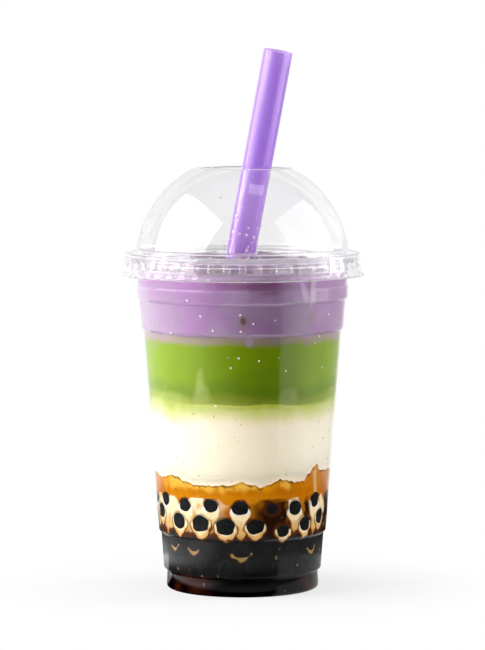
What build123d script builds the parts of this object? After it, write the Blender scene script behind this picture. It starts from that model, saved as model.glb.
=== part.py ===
from build123d import *
import os
from math import cos, hypot, radians, sin, tan

# Layered taro bubble tea in a clear stepped cup with a dome lid and a wide straw.
# Millimetres, +Z up. The origin is the middle of the cup's footprint, on the table;
# the straw leans towards +X and a little towards -Y.

# Driving dimensions -----------------------------------------------------------------

# Cup: thin clear plastic, a rolled rim on a straight neck, and three tapered bands
# below it, each a step smaller than the one above, down to a short foot.
cup_height = 144.0
cup_wall = 0.5
rim_radius = 49.0           # over the rolled rim
rim_reach = 3.1             # how far the roll stands out from the neck
rim_roll = 2.3              # height of the roll
rim_rounding = 0.9          # corner radius of the roll's section
neck_depth = 17.2           # rim top to the first step
upper_band = 13.2           # first step to the second
lower_band_top = 25.4       # third step, above the table
foot_height = 8.9           # fourth step, above the table
step_drop = 1.0             # height over which a step slopes
step_in = 1.0               # how far a step goes in
foot_step_in = 1.4
neck_taper = 1.0            # degrees from upright
wall_taper = 4.25           # degrees from upright
foot_flare = 0.4
base_rounding = 1.9
base_recess = 2.5           # height of the hollow under the cup
base_ring = 5.0             # width of the ring that the cup stands on
recess_slope = 1.2          # run of the hollow's sloping side

# Lid: a thin clear dome with a round hole, a stacking groove at its base, a bead over
# the cup's rim and a flared skirt.
lid_wall = 0.4
dome_height = 38.4          # rim top to the flat round the hole
dome_inset = 0.15           # the dome's foot, in from the outside of the cup's neck
hole_radius = 18.0
hole_flat = 2.9             # width of the flat round the hole
collar_rise = 4.0           # rim top to where the dome begins
collar_inset = 1.0          # stacking groove, from the dome's foot
seat_clearance = 0.1        # lid to rim, and skirt to roll
seat_width = 0.9            # where the lid rests on the rim
bead_rise = 2.0             # rim top to the top of the bead
skirt_drop = 7.0            # rim top to the skirt's lower edge
skirt_slack = 1.2           # roll to the skirt's inner face
skirt_flare = 0.7
lip_width = 1.1             # lip at the skirt's lower edge
snap_reach = 0.8            # ridge that catches under the roll
snap_height = 1.6

# Straw: a wide open tube that stands in the cup's lower corner and leans on the
# edge of the lid's hole.
straw_radius = 6.3
straw_wall = 0.4
straw_length = 228.0
straw_foot_height = 9.5     # middle of the lower end, above the table
straw_foot_bearing = 164.0  # degrees round from +X, where the foot stands
straw_rest_bearing = -57.8  # degrees round from +X, where it leans on the hole
straw_rest_gap = 0.4        # straw to the edge of the hole
straw_wall_gap = 0.6        # straw to the cup's inner face
straw_fit = 0.1             # straw to the drink round it

# Drink: six layers, one on top of the other. The taro layer fills what is left below
# the headspace. The same drink stands in the straw.
headspace = 5.2             # rim top to the drink's surface
drink_gap = 0.1             # drink to the cup's inner face, and to the straw's
pearl_syrup_depth = 25.0    # from the table
marbled_pearl_depth = 18.0
caramel_depth = 6.5
milk_depth = 31.5
matcha_depth = 30.0

# Worked out from them ---------------------------------------------------------------

neck_bottom = cup_height - neck_depth
upper_bottom = neck_bottom - upper_band
drink_top = cup_height - headspace
pearl_syrup_top = pearl_syrup_depth
marbled_pearl_top = pearl_syrup_top + marbled_pearl_depth
caramel_top = marbled_pearl_top + caramel_depth
milk_top = caramel_top + milk_depth
matcha_top = milk_top + matcha_depth
wall_slope = tan(radians(wall_taper))

neck_radius = rim_radius - rim_reach
neck_bottom_radius = neck_radius - (neck_depth - rim_roll) * tan(radians(neck_taper))
upper_radius = neck_bottom_radius - step_in
upper_bottom_radius = upper_radius - (upper_band - step_drop) * wall_slope
main_radius = upper_bottom_radius - step_in
main_bottom_radius = main_radius - (upper_bottom - step_drop - lower_band_top) * wall_slope
lower_radius = main_bottom_radius - step_in
lower_bottom_radius = lower_radius - (lower_band_top - step_drop - foot_height) * wall_slope
foot_radius = lower_bottom_radius - foot_step_in
base_radius = foot_radius + foot_flare


def point_at(radius, bearing, height):
    """A point from its distance to the axis, its bearing in degrees and its height."""
    return Vector(radius * cos(radians(bearing)), radius * sin(radians(bearing)), height)


straw_foot = point_at(lower_bottom_radius - cup_wall - straw_wall_gap - straw_radius,
                      straw_foot_bearing, straw_foot_height)
straw_rest = point_at(hole_radius - straw_rest_gap - straw_radius,
                      straw_rest_bearing, cup_height + dome_height)
straw_plane = Plane(origin=straw_foot, z_dir=straw_rest - straw_foot)


def cup_section(inset, top):
    """Half the cup's section, solid from the axis out to its outer face moved in by inset,
    and up to the height top: the cup's outside, its inside, or the drink in it."""
    ring_inside = base_radius - base_rounding - base_ring
    side = [
        (base_radius, base_rounding),
        (foot_radius, foot_height - step_drop),
        (lower_bottom_radius, foot_height),
        (lower_radius, lower_band_top - step_drop),
        (main_bottom_radius, lower_band_top),
        (main_radius, upper_bottom - step_drop),
        (upper_bottom_radius, upper_bottom),
        (upper_radius, neck_bottom - step_drop),
        (neck_bottom_radius, neck_bottom),
        (neck_radius, cup_height),
    ]
    side = [(radius - inset, height) for radius, height in side]
    with BuildSketch(Plane.XZ) as section:
        with BuildLine():
            floor = Polyline(
                (0, base_recess + inset),
                (ring_inside - recess_slope + inset, base_recess + inset),
                (ring_inside + inset, inset),
                (base_radius - base_rounding, inset),
            )
            RadiusArc(floor @ 1, side[0], -(base_rounding - inset))
            wall = Polyline(*side)
            Polyline(wall @ 1, (0, cup_height), floor @ 0)
        make_face()
        with Locations((0, top)):
            Rectangle(2 * rim_radius, cup_height, align=(Align.CENTER, Align.MIN),
                      mode=Mode.SUBTRACT)
    return section.sketch


# Cup --------------------------------------------------------------------------------

with BuildPart() as cup:
    with BuildSketch(Plane.XZ):
        add(cup_section(0, cup_height - rim_roll / 2))
        roll_width = rim_reach + cup_wall
        with Locations((rim_radius - roll_width / 2, cup_height - rim_roll / 2)):
            RectangleRounded(roll_width, rim_roll, rim_rounding)
        add(cup_section(cup_wall, cup_height), mode=Mode.SUBTRACT)
    revolve(axis=Axis.Z)
cup.part.label = "cup"

# Lid --------------------------------------------------------------------------------

with BuildPart() as dome_lid:
    lid_top = cup_height + dome_height
    flat_radius = hole_radius + hole_flat
    collar_top = cup_height + collar_rise
    dome_foot = neck_radius - dome_inset
    # The dome is part of a sphere centred on the axis, through its foot and the flat's edge.
    dome_centre = ((flat_radius ** 2 + lid_top ** 2 - dome_foot ** 2 - collar_top ** 2)
                   / (2 * (lid_top - collar_top)))
    dome_radius = hypot(dome_foot, collar_top - dome_centre)
    groove_radius = dome_foot - collar_inset
    seat_top = cup_height + seat_clearance + lid_wall
    bead_top = cup_height + bead_rise
    seat_outside = neck_radius + seat_width
    skirt_radius = rim_radius + skirt_slack + lid_wall
    skirt_bottom = cup_height - skirt_drop
    with BuildSketch(Plane.XZ):
        with BuildLine():
            flat = Line((hole_radius, lid_top), (flat_radius, lid_top))
            dome = RadiusArc(flat @ 1, (dome_foot, collar_top), dome_radius)
            Polyline(
                dome @ 1,
                (groove_radius, collar_top - collar_inset),
                (groove_radius, seat_top + collar_inset / 2),
                (groove_radius + collar_inset / 2, seat_top),
                (seat_outside, seat_top),
                (seat_outside + (bead_top - seat_top) / 2, bead_top),
                (skirt_radius - bead_rise / 2, bead_top),
                (skirt_radius, bead_top - bead_rise / 2),
                (skirt_radius + skirt_flare, skirt_bottom + lid_wall),
                (skirt_radius + skirt_flare + lip_width, skirt_bottom),
            )
            offset(amount=lid_wall, side=Side.RIGHT, closed=True)
        make_face()
        snap_top = cup_height - rim_roll - seat_clearance
        skirt_inside = skirt_radius - lid_wall / 2
        with BuildLine():
            Polyline((skirt_inside + skirt_flare / 2, snap_top),
                     (rim_radius - snap_reach, snap_top - snap_height / 2),
                     (skirt_inside + skirt_flare / 2, snap_top - snap_height), close=True)
        make_face()
    revolve(axis=Axis.Z)
dome_lid.part.label = "dome_lid"

# Straw ------------------------------------------------------------------------------

with BuildPart() as straw:
    with BuildSketch(straw_plane):
        Circle(straw_radius)
        Circle(straw_radius - straw_wall, mode=Mode.SUBTRACT)
    extrude(amount=straw_length)
straw.part.label = "straw"

# Drink ------------------------------------------------------------------------------


def drink_layer(label, bottom, top):
    """One layer of the drink: all of the cup's contents up to its top, without what
    lies below its bottom, cut round the straw."""
    with BuildPart() as layer:
        with BuildSketch(Plane.XZ):
            add(cup_section(cup_wall + drink_gap, top))
        revolve(axis=Axis.Z)
        if bottom > 0:
            with Locations((0, 0, bottom)):
                Cylinder(rim_radius, cup_height, align=(Align.CENTER, Align.CENTER, Align.MAX),
                         mode=Mode.SUBTRACT)
        with BuildSketch(straw_plane):
            Circle(straw_radius + straw_fit)
        extrude(amount=straw_length, mode=Mode.SUBTRACT)
    layer.part.label = label
    return layer


layers = [
    drink_layer("pearl_syrup_layer", 0, pearl_syrup_top),
    drink_layer("marbled_pearl_layer", pearl_syrup_top, marbled_pearl_top),
    drink_layer("caramel_layer", marbled_pearl_top, caramel_top),
    drink_layer("milk_layer", caramel_top, milk_top),
    drink_layer("matcha_layer", milk_top, matcha_top),
    drink_layer("taro_layer", matcha_top, drink_top),
]

with BuildPart() as drink_in_straw:
    with BuildSketch(straw_plane):
        Circle(straw_radius - straw_wall - drink_gap)
    extrude(amount=straw_length)
    with Locations((0, 0, drink_top)):
        Cylinder(rim_radius, straw_length, align=(Align.CENTER, Align.CENTER, Align.MIN),
                 mode=Mode.SUBTRACT)
drink_in_straw.part.label = "drink_in_straw"

# Export -----------------------------------------------------------------------------

os.makedirs("parts", exist_ok=True)
for piece in [cup, dome_lid, straw, drink_in_straw] + layers:
    export_step(piece.part, f"parts/{piece.part.label}.step")
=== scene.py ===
"""Layered taro, matcha and milk bubble tea in a clear cup with a dome lid and a wide straw.

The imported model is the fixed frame; each operator below builds one piece, or a group of
like pieces, around it. Lengths are metres, +Z is up, and bearings are measured round from
the shown side (-Y), positive towards +X.
"""

import random
from collections import namedtuple
from math import atan2, ceil, cos, degrees, hypot, pi, radians, sin, tan

import bmesh
import bpy
import numpy as np
from bpy.props import FloatProperty, FloatVectorProperty, IntProperty, PointerProperty
from mathutils import Matrix, Vector


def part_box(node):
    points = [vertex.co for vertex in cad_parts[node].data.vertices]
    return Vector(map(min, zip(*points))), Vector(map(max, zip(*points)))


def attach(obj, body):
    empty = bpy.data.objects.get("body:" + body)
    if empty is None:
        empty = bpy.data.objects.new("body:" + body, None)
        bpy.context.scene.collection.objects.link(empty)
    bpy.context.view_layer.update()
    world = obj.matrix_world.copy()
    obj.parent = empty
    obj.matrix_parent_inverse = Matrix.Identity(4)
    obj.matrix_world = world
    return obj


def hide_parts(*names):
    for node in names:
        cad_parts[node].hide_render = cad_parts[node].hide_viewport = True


bl_info = {
    "name": "Layered Bubble Tea",
    "version": (1, 0, 0),
    "blender": (4, 5, 0),
    "location": "3D View > Sidebar > Bubble Tea",
    "description": "Builds a layered bubble tea with tapioca pearls around its packed model",
    "category": "Add Mesh",
}

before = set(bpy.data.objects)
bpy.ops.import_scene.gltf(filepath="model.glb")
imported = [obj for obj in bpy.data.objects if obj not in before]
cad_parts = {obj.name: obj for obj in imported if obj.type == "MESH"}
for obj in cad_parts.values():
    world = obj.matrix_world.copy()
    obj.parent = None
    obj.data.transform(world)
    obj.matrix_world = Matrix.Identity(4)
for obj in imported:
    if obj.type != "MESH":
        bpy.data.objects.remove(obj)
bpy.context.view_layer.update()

MM = 0.001
WHITE = (1.0, 1.0, 1.0, 1.0)
BODY = "root"

cup_low, cup_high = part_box("cup")
lid_low, lid_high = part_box("dome_lid")
cup_height = cup_high.z
rim_radius = cup_high.x
level = {name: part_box(name)[1].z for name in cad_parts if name.endswith("_layer")}


# Helpers ----------------------------------------------------------------------------


def srgb(code):
    """A colour written as sRGB hex, in the linear values that shaders take."""
    channels = [int(code[i:i + 2], 16) / 255 for i in (1, 3, 5)]
    return tuple(c / 12.92 if c <= 0.04045 else ((c + 0.055) / 1.055) ** 2.4 for c in channels)


def length(name, description, default):
    """A length in metres that the sidebar shows in scene units."""
    return FloatProperty(name=name, description=description, default=default,
                         unit="LENGTH", subtype="DISTANCE", precision=5, min=0.0)


def fraction(name, description, default, least=0.0, most=1.0):
    """A number from 0 to 1, or between narrower limits."""
    return FloatProperty(name=name, description=description, default=default,
                         min=least, max=most)


def number(name, description, default, least=0.0):
    """A plain number that isn't negative, such as a power in watts or a brightness."""
    return FloatProperty(name=name, description=description, default=default, min=least)


def whole(name, description, default, least=0):
    """A whole number that isn't negative."""
    return IntProperty(name=name, description=description, default=default, min=least)


def colour(name, description, code):
    """A colour, given as sRGB hex."""
    return FloatVectorProperty(name=name, description=description, default=srgb(code),
                               subtype="COLOR", size=3, min=0.0, max=1.0)


def node(tree, kind, inputs=None, **settings):
    """Adds a node, sets its settings, then sets or links its inputs by name or number. A node
    given as an input stands for its first output."""
    made = tree.nodes.new("ShaderNode" + kind)
    for key, value in settings.items():
        setattr(made, key, value)
    for key, value in (inputs or {}).items():
        if isinstance(value, bpy.types.Node):
            value = value.outputs[0]
        if isinstance(value, bpy.types.NodeSocket):
            tree.links.new(value, made.inputs[key])
        else:
            made.inputs[key].default_value = value
    return made


def grey_ramp(tree, factor, stops):
    """A Color Ramp node's colour, from (position, linear grey) stops."""
    made = node(tree, "ValToRGB", {"Fac": factor})
    elements = made.color_ramp.elements
    while len(elements) < len(stops):
        elements.new(1.0)
    for element, (position, grey) in zip(elements, stops):
        element.position = position
        element.color = (grey, grey, grey, 1.0)
    return made.outputs["Color"]


def new_material(name):
    """An empty node material and its tree."""
    material = bpy.data.materials.new(name)
    material.use_nodes = True
    material.node_tree.nodes.clear()
    return material, material.node_tree


def finish_material(tree, surface):
    """Gives a material its surface, the last link of its tree."""
    node(tree, "OutputMaterial", {"Surface": surface})


def mix_colour(tree, factor, first, second, blend="MIX"):
    """Mixes two colours; each may be linked or a linear colour."""
    linked = (bpy.types.NodeSocket, bpy.types.Node)
    first, second = (given if isinstance(given, linked) else (*given, 1.0)
                     for given in (first, second))
    return node(tree, "Mix", {0: factor, 6: first, 7: second}, data_type="RGBA",
                blend_type=blend).outputs[2]


def between(tree, value, low, high):
    """0 below low, 1 above high, smooth between."""
    return node(tree, "MapRange", {"Value": value, "From Min": low, "From Max": high},
                interpolation_type="SMOOTHSTEP")


def waves(seed, amplitude, lowest, highest):
    """A closed uneven line round the cup: a sum of seeded waves, as a function of bearing."""
    source = random.Random(seed)
    terms = [(k, source.uniform(0, 2 * pi), source.uniform(0.5, 1.0) / (k / lowest) ** 0.5)
             for k in range(lowest, highest + 1)]
    total = sum(share for _, _, share in terms) ** 0.5

    def height(bearing):
        return amplitude * sum(share * np.cos(k * bearing + phase)
                               for k, phase, share in terms) / total
    return height


def rounded(points, steps=5, hold=0.2 * MM):
    """A polyline of (radius, height, rounding) with each corner turned into a short curve. A
    point just off each end of a curve keeps the straights straight when shaded smooth."""
    line = [points[0][:2]]
    for before, corner, after in zip(points, points[1:], points[2:]):
        here = Vector(corner[:2])
        back, on = Vector(before[:2]) - here, Vector(after[:2]) - here
        turn = pi - back.angle(on)
        reach = min(corner[2] * tan(turn / 2), 0.45 * back.length, 0.45 * on.length)
        if reach < 1e-6:
            line.append(tuple(here))
            continue
        start, end = here + back.normalized() * reach, here + on.normalized() * reach
        if (start - Vector(line[-1])).length > 2 * hold:
            line.append(tuple(start + back.normalized() * hold))
        for step in range(steps + 1):
            t = step / steps
            line.append(tuple(start * (1 - t) ** 2 + here * 2 * t * (1 - t) + end * t ** 2))
        if on.length - reach > 4 * hold:
            line.append(tuple(end + on.normalized() * hold))
    line.append(points[-1][:2])
    return line


def offset_line(line, distance):
    """The same polyline moved to the right of its direction by distance."""
    moved = []
    for i, (radius, height) in enumerate(line):
        before = Vector(line[max(i - 1, 0)])
        after = Vector(line[min(i + 1, len(line) - 1)])
        along = (after - before).normalized()
        moved.append((radius + along.y * distance, height - along.x * distance))
    return moved


def mesh_object(name, vertices, faces, material, sharp=40):
    """A cleaned mesh in the scene, shaded smooth up to this angle in degrees."""
    mesh = bpy.data.meshes.new(name)
    mesh.from_pydata(vertices, [], faces)
    mesh.materials.append(material)
    shade(mesh, sharp)
    piece = bpy.data.objects.new(name, mesh)
    bpy.context.scene.collection.objects.link(piece)
    return piece


def shade(mesh, sharp):
    """Merges points at the axis, turns faces outwards and shades smooth between sharp edges."""
    work = bmesh.new()
    work.from_mesh(mesh)
    bmesh.ops.remove_doubles(work, verts=work.verts, dist=1e-7)
    bmesh.ops.dissolve_degenerate(work, edges=work.edges, dist=1e-8)
    bmesh.ops.recalc_face_normals(work, faces=work.faces)
    work.to_mesh(mesh)
    work.free()
    mesh.shade_smooth()
    mesh.set_sharp_from_angle(angle=radians(sharp))


def grid_faces(rows, columns, closed_rows=False, start=0):
    """Quads of a grid of points that closes round its columns, and along its rows if asked.
    start is the number of the grid's first point."""
    faces = []
    for i in range(rows if closed_rows else rows - 1):
        above = (i + 1) % rows
        for j in range(columns):
            beside = (j + 1) % columns
            corners = (i * columns + j, i * columns + beside,
                       above * columns + beside, above * columns + j)
            faces.append([start + corner for corner in corners])
    return faces


def side_points(piece):
    """A piece's points, and how far each is from the cup's axis and at what bearing."""
    points = np.array([vertex.co for vertex in piece.data.vertices])
    return points, np.hypot(points[:, 0], points[:, 1]), np.arctan2(points[:, 0], -points[:, 1])


def turned(name, section, bearings, material, closed=True, shape=None):
    """Turns a section of (radius, height) points round Z, to each bearing. shape(radius,
    height, bearing) may give each point a new radius and height."""
    vertices = []
    for radius, height in section:
        radii = np.full(len(bearings), radius)
        heights = np.full(len(bearings), height)
        if shape:
            radii, heights = shape(radii, heights, bearings)
        vertices += zip(radii * np.sin(bearings), -radii * np.cos(bearings), heights)
    return mesh_object(name, vertices, grid_faces(len(section), len(bearings), closed), material)


def place(piece, slot, *nodes):
    """Seats a finished piece on the drink's body and hides its CAD nodes. slot is not used."""
    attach(piece, BODY)
    if nodes:
        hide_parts(*nodes)
    return piece


# Sizes and colours ------------------------------------------------------------------


class CupSettings(bpy.types.PropertyGroup):
    """Clear cup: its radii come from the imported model."""

    wall: length("Wall", "Thickness of the plastic", 0.5 * MM)
    rim_reach: length("Rim reach", "How far the rolled rim stands out from the neck", 3.1 * MM)
    rim_roll: length("Rim height", "Height of the rolled rim", 2.3 * MM)
    rim_rounding: length("Rim rounding", "Corner radius of the rolled rim", 0.9 * MM)
    step_rounding: length("Step rounding", "Corner radius of the steps in the wall", 0.9 * MM)
    base_rounding: length("Base rounding", "Corner radius at the table", 1.9 * MM)
    base_recess: length("Base recess", "Depth of the hollow under the cup", 2.5 * MM)
    base_ring: length("Base ring", "Width of the ring that the cup stands on", 5.0 * MM)
    recess_slope: length("Recess slope", "Run of the hollow's sloping side", 1.2 * MM)
    segments: whole("Segments", "Points round the cup", 288, least=32)
    # Painted highlight: the steps are whitened where they catch the light, more the higher they
    # are.
    step_highlight: fraction("Step cloud", "Whitening of the upper steps", 0.26)
    tint: colour("Tint", "Colour of the clear plastic", "#FEFEFE")
    ior: number("IOR", "Index of refraction", 1.5, least=1.0)


class LidSettings(bpy.types.PropertyGroup):
    """Clear dome lid."""

    wall: length("Wall", "Thickness of the plastic", 0.4 * MM)
    hole_radius: length("Hole radius", "Round hole in the dome", 18.0 * MM)
    hole_flat: length("Hole flat", "Width of the flat round the hole", 2.9 * MM)
    collar_rise: length("Collar rise", "Rim top to where the dome begins", 4.0 * MM)
    collar_inset: length("Groove depth", "Stacking groove at the dome's foot", 1.0 * MM)
    dome_inset: length("Dome inset", "Dome's foot, in from the cup's neck", 0.15 * MM)
    seat_clearance: length("Seat clearance", "Lid to rim", 0.1 * MM)
    seat_width: length("Seat width", "Where the lid rests on the rim", 0.9 * MM)
    bead_rise: length("Bead rise", "Rim top to the top of the bead", 2.0 * MM)
    skirt_slack: length("Skirt slack", "Rolled rim to the skirt", 1.2 * MM)
    skirt_flare: length("Skirt flare", "How far the skirt widens downwards", 0.7 * MM)
    lug_count: whole("Lugs", "Small lugs round the skirt", 48)
    lug_depth: length("Lug depth", "How far a lug is pressed in", 1.2 * MM)
    lug_height: length("Lug height", "Height of a lug", 3.4 * MM)
    lug_drop: length("Lug drop", "Rim top down to the middle of a lug", 2.1 * MM)
    lug_share: fraction("Lug share", "Lug width as a share of its spacing", 0.42,
                        least=0.1, most=0.9)
    lip_scallop: length("Lip scallop", "Waviness of the skirt's lip", 0.3 * MM)
    mist: fraction("Mist", "Whitening of the flange", 0.13)
    edge_cloud: fraction("Edge cloud", "Whitening of the hole's cut edge", 0.6)
    dome_rows: whole("Dome rows", "Rows of faces from the hole to the collar", 26)
    skirt_rows: whole("Skirt rows", "Rows of faces down the skirt", 14)
    tint: colour("Tint", "Colour of the clear plastic", "#FDFDFD")
    ior: number("IOR", "Index of refraction", 1.5, least=1.0)


class StrawSettings(bpy.types.PropertyGroup):
    """Wide straw of translucent lilac plastic."""

    tint: colour("Tint", "Colour of the plastic", "#B893F2")
    tint_pale: colour("Pale tint", "Colour of its paler streaks", "#C2A6F2")
    tint_low: colour("Low tint", "What darkens the plastic towards the drink", "#F8B0E8")
    glow: colour("Glow", "Colour of light that comes through the wall", "#F3E0FE")
    glowing: fraction("Glowing", "Share of light scattered through", 0.4)
    through: fraction("Light through", "Share of light let straight on", 0.6)
    through_edge: fraction("Through at the edge", "The same where the wall is seen edge-on", 0.06)
    shade_rise: length("Shade rise", "How far over the drink the low tint ends", 60 * MM)


class DrinkSettings(bpy.types.PropertyGroup):
    """The layers of the drink."""

    reach: length("Reach", "How far the drink reaches into the cup's wall", 0.2 * MM)
    gap: length("Gap", "Between two layers, so that light passes from one to the other", 0.02 * MM)
    milk_rise: length("Milk rise", "How far the milk has risen into the matcha", 2.5 * MM)
    floor_edge: length("Floor edge", "Where the lowest layer's floor turns into its side", 6 * MM)
    segments: whole("Segments", "Points round the drink", 420)
    row: length("Row", "Height of one row of faces", 0.5 * MM)
    taro: colour("Taro", "Taro milk", "#C69DCE")
    taro_pale: colour("Pale taro", "Taro milk over ice", "#D2B8D8")
    matcha: colour("Matcha", "Matcha milk", "#9AB914")
    matcha_pale: colour("Pale matcha", "Matcha mixed with milk", "#C9D67A")
    milk: colour("Milk", "Ivory milk", "#FDEFDA")
    # Painted shade: this tint warms and slightly darkens the milk towards the caramel.
    milk_shade: colour("Warm milk", "Milk with a little syrup in it", "#FFFDF4")
    caramel: colour("Caramel", "Brown sugar caramel", "#DC9C0C")
    caramel_pale: colour("Pale caramel", "Caramel with cream in it", "#E8B748")
    caramel_red: colour("Red caramel", "Caramel away from the light", "#C07006")
    caramel_dark: colour("Dark caramel", "Caramel where it is thick", "#54270A")
    cream: colour("Cream", "Cream between the pearls", "#F6E6C0")
    cream_warm: colour("Warm cream", "Cream mixed with caramel", "#DDB878")
    cream_cool: colour("Cool cream", "Cream under the upper pearls", "#EFF0EA")
    caramel_deep: colour("Deep caramel", "Caramel lower down", "#A8640A")
    syrup_brown: colour("Brown syrup", "Syrup mixed with caramel", "#271208")
    syrup: colour("Syrup", "Dark syrup", "#202020")
    syrup_black: colour("Black syrup", "Syrup in the cup's foot", "#030202")
    syrup_red: colour("Red syrup", "Thin syrup with light in it", "#3A1208")
    taro_mixed: colour("Mixed taro", "Taro where it meets the matcha", "#B9A795")
    taro_deep: colour("Deep taro", "Taro in the lid's shade", "#8E4C78")
    taro_side_shade: colour("Dusky taro", "Taro that has settled at the side", "#B49DB6")
    # Painted shade: darker, greyer taro at the left and the right of the cup.
    taro_brown: colour("Brown taro", "A speck of tea in the taro", "#6E5C54")
    # A small dark brown spot painted on the matcha at the front.
    matcha_olive: colour("Olive matcha", "Matcha just over the milk", "#A4B63A")
    matcha_deep: colour("Deep matcha", "Matcha that has settled", "#88A81E")
    speck: colour("Specks", "Specks of matcha in the milk", "#A9A35C")
    # Painted reflection: pale streaks down the taro at the right.
    reflection_streak: colour("Ice streak", "Melted ice running down the wall", "#EFE4F2")


class PearlSettings(bpy.types.PropertyGroup):
    """Tapioca pearls pressed against the wall."""

    per_row: whole("Pearls in a row", "Pearls round the cup", 18)
    half_width: length("Half width", "Half the width of a pearl's flat side", 3.9 * MM)
    half_height: length("Half height", "Half the height of a pearl's flat side", 3.3 * MM)
    depth: length("Depth", "Half the thickness of a pearl", 4.2 * MM)
    reach: length("Reach", "How far a pearl reaches into the cup's wall", 0.25 * MM)
    tint: colour("Tint", "Colour of the pearls", "#151617")
    tint_pale: colour("Pale tint", "Colour of their paler patches", "#1F2021")
    seed: whole("Seed", "Seed of the pearls' unevenness", 4)


class IceSettings(bpy.types.PropertyGroup):
    """Ice at the top of the drink."""

    size: length("Size", "Edge of an ice lump", 21 * MM)
    # Painted shade: the taro on the ice is far darker than the taro milk.
    tint: colour("Tint", "Taro milk on the ice", "#8A4C80")
    seed: whole("Seed", "Seed of the lumps' shapes", 3)


class DropSettings(bpy.types.PropertyGroup):
    """Water drops on the plastic."""

    in_dome: whole("Drops in the dome", "Drops inside the lid", 30)
    on_straw: whole("Drops on the straw", "Drops at its foot", 34)
    on_cup: whole("Drops on the cup", "Drops on the cup's side", 64)
    radius: length("Radius", "Radius of the largest drops", 0.9 * MM)
    seed: whole("Seed", "Seed of the drops' places", 11)


class StudioSettings(bpy.types.PropertyGroup):
    """Camera, floor and lamps."""

    camera_distance: length("Camera distance", "From the cup's axis", 1.5)
    camera_height: length("Camera height", "Above the table", 0.2402)
    camera_tilt: FloatProperty(name="Camera tilt", description="Down from level",
                               default=radians(4.8), subtype="ANGLE", unit="ROTATION")
    focal_length: number("Focal length", "In millimetres, on a film 36 mm wide", 192.3,
                         least=1.0)
    floor_radius: length("Floor radius", "Radius of the pale floor", 0.31)
    shadow: fraction("Shadow", "How white the floor stays beside the cup", 0.72)
    floor_in_gloss: number("Floor in gloss", "Brightness", 0.2)
    floor_left: number("Floor, left", "Times as bright", 5.0)
    floor_card: number("Floor, right of the foot", "Times as bright", 2.2)
    left_light: number("Left light", "Power in watts", 18.6)
    right_light: number("Right light", "Power in watts", 7.0)
    front_fill: number("Front fill", "Power in watts, on the pale layers", 5.6)
    fill_tint: colour("Fill tint", "Colour of the front fill", "#FFF3EC")
    room_fill: number("Room fill", "Power in watts", 0.5)
    top_light: number("Top light", "Power in watts", 0.5)
    left_softbox: number("Softbox", "Power in gloss", 14.0)
    right_card: number("Right card", "Power in gloss", 0.7)
    top_window: number("Top window", "Power in gloss", 0.2)
    table_left: number("Table, left", "In gloss", 1.1)
    table_right: number("Table, right", "In gloss", 1.0)
    table_near: number("Table, near", "In gloss", 0.8)
    ambient: number("Ambient", "Light from behind", 0.15)


# Shapes from the frame --------------------------------------------------------------


def turned_corners(name, low, high):
    """(radius, height) of the corners on the outer face of a turned CAD node, going up."""
    rings = {}
    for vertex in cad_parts[name].data.vertices:
        height = round(vertex.co.z, 5)
        if low <= height <= high:
            rings[height] = max(rings.get(height, 0.0), hypot(vertex.co.x, vertex.co.y))
    return [(rings[height], height) for height in sorted(rings)]


def cup_face(cup, inset):
    """The cup's outer face moved in by inset, from the axis under the base to the rim."""
    corners = turned_corners("cup", 2 * cup.base_recess, cup_height - 1.5 * cup.rim_roll)
    base_radius = turned_corners("cup", 0.0, 0.0)[0][0] + cup.base_rounding
    ring = base_radius - cup.base_rounding - cup.base_ring
    soft = cup.step_rounding
    points = [
        (0.0, cup.base_recess + inset, 0.0),
        (ring - cup.recess_slope + inset, cup.base_recess + inset, soft),
        (ring + inset, inset, soft),
        (base_radius - inset, inset, cup.base_rounding - inset),
    ]
    points += [(radius - inset, height, soft) for radius, height in corners]
    points.append((rim_radius - cup.rim_reach - inset, cup_height, 0.0))
    return rounded(points)


def wall_radius(cup, inset):
    """The radius of the cup's side, moved in by inset, as a function of height."""
    face = cup_face(cup, inset)
    widest = max(i for i, (radius, height) in enumerate(face) if height <= inset + 1e-6)
    side = face[widest:]
    heights = [height for _, height in side]
    radii = [radius for radius, _ in side]
    return lambda height: np.interp(height, heights, radii)


def dome_arc(lid, cup):
    """The dome's outer face is an arc from the flat round the hole to the collar: the flat's
    radius, the foot's radius, the collar's height, and the height of the arc's centre and
    its radius."""
    flat = lid.hole_radius + lid.hole_flat
    foot = rim_radius - cup.rim_reach - lid.dome_inset
    collar = cup_height + lid.collar_rise
    top = lid_high.z
    centre = (flat ** 2 + top ** 2 - foot ** 2 - collar ** 2) / (2 * (top - collar))
    return flat, foot, collar, centre, hypot(foot, collar - centre)


def straw_axis():
    """(foot, top, radius) of the straw, from the ends of its CAD node."""
    points = np.array([vertex.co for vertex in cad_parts["straw"].data.vertices])
    middle = points.mean(0)
    along = np.linalg.svd(points - middle, full_matrices=False)[2][0]
    along *= np.sign(along[2])
    distance = (points - middle) @ along
    across = np.linalg.norm(points - middle - np.outer(distance, along), axis=1)
    foot, top = middle + along * distance.min(), middle + along * distance.max()
    return Vector(foot), Vector(top), float(across.max())


# Materials --------------------------------------------------------------------------


def rays(tree, first, second):
    """1 for rays of either of two sorts, 0 for the rest."""
    path = node(tree, "LightPath")
    return node(tree, "Math", {0: path.outputs[f"Is {first} Ray"],
                               1: path.outputs[f"Is {second} Ray"]}, operation="MAXIMUM")


def pass_lamps(tree, surface, tint=WHITE[:3]):
    """Lets the light of lamps, and light scattered by what lies behind, go straight through
    a clear surface, so that it casts no caustics."""
    clear = node(tree, "BsdfTransparent", {"Color": (*tint, 1.0)})
    both = node(tree, "MixShader", {"Fac": rays(tree, "Shadow", "Diffuse"), 1: surface,
                                    2: clear})
    finish_material(tree, both)


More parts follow.
